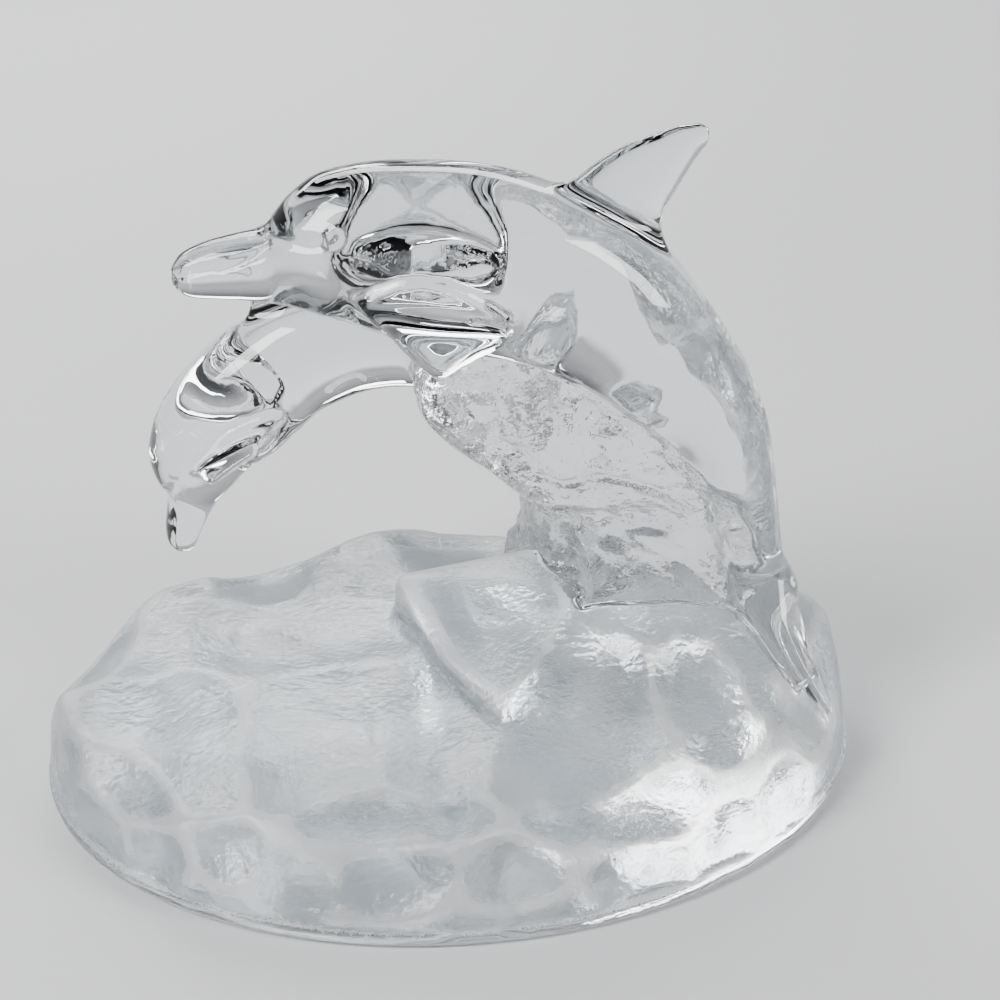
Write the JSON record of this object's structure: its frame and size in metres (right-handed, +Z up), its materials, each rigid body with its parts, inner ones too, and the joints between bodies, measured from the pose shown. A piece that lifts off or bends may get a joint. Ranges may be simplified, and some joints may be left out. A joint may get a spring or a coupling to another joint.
{
  "type": "dolphin figurine",
  "caption": "Clear crystal ornament of a large and a small dolphin leaping off a rock of glass on an oval frosted base.",
  "frame": {"origin": "middle of the underside of the oval base, where the figurine rests", "axes": "+Z up, +X along the base's length away from the dolphins' heads, +Y from the large dolphin's side to the small dolphin's side"},
  "size_m": [0.16, 0.115, 0.1288],
  "materials": {
    "crystal": "clear polished crystal, with the base satin frosted above a clear rim"
  },
  "bodies": {
    "root": {"dolphin_figurine": "crystal"}
  },
  "joints": []
}
